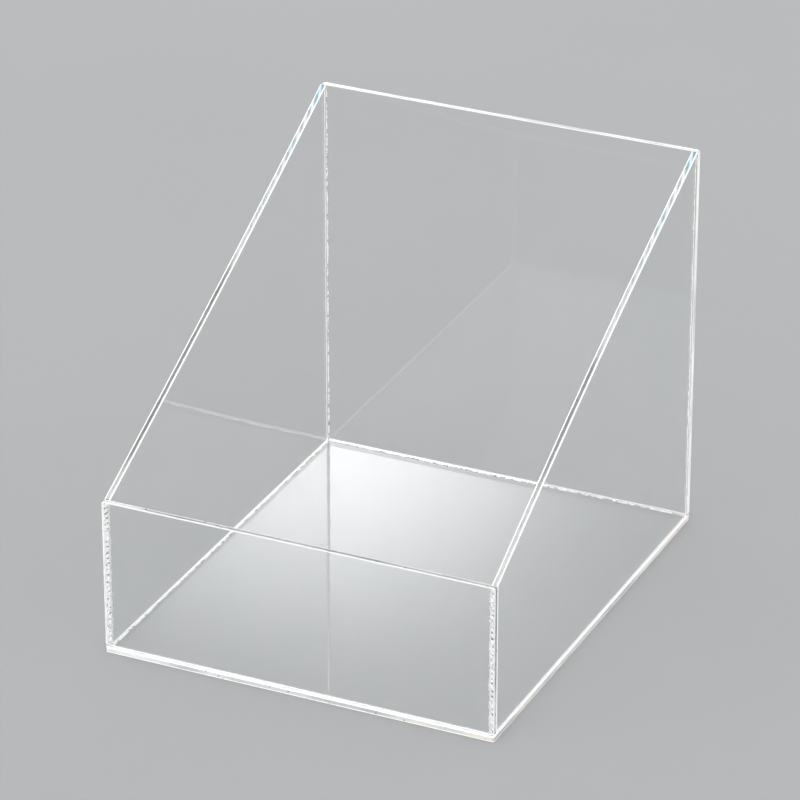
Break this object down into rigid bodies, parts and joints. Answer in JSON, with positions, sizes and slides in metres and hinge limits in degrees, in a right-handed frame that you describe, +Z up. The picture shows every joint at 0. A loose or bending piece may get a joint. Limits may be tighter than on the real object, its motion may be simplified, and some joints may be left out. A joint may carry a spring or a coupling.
{
  "type": "acrylic display bin",
  "caption": "Open-top clear acrylic display bin with a low front lip, a tall back and straight sloping sides, cemented from flat sheet.",
  "frame": {"origin": "middle of the underside, on the surface the bin stands on", "axes": "+Z up, -Y towards the low front lip, +Y towards the tall back, X across the width"},
  "size_m": [0.2, 0.24, 0.2],
  "materials": {
    "clear_acrylic_sheet": "polished",
    "cured_cement": "gloss"
  },
  "bodies": {
    "root": {"bottom_panel": "clear_acrylic_sheet", "front_panel": "clear_acrylic_sheet", "back_panel": "clear_acrylic_sheet", "left_side_panel": "clear_acrylic_sheet", "right_side_panel": "clear_acrylic_sheet", "seam_bottom_front": "cured_cement", "seam_bottom_back": "cured_cement", "seam_bottom_left": "cured_cement", "seam_bottom_right": "cured_cement", "seam_front_left": "cured_cement", "seam_front_right": "cured_cement", "seam_back_left": "cured_cement", "seam_back_right": "cured_cement"}
  },
  "joints": []
}
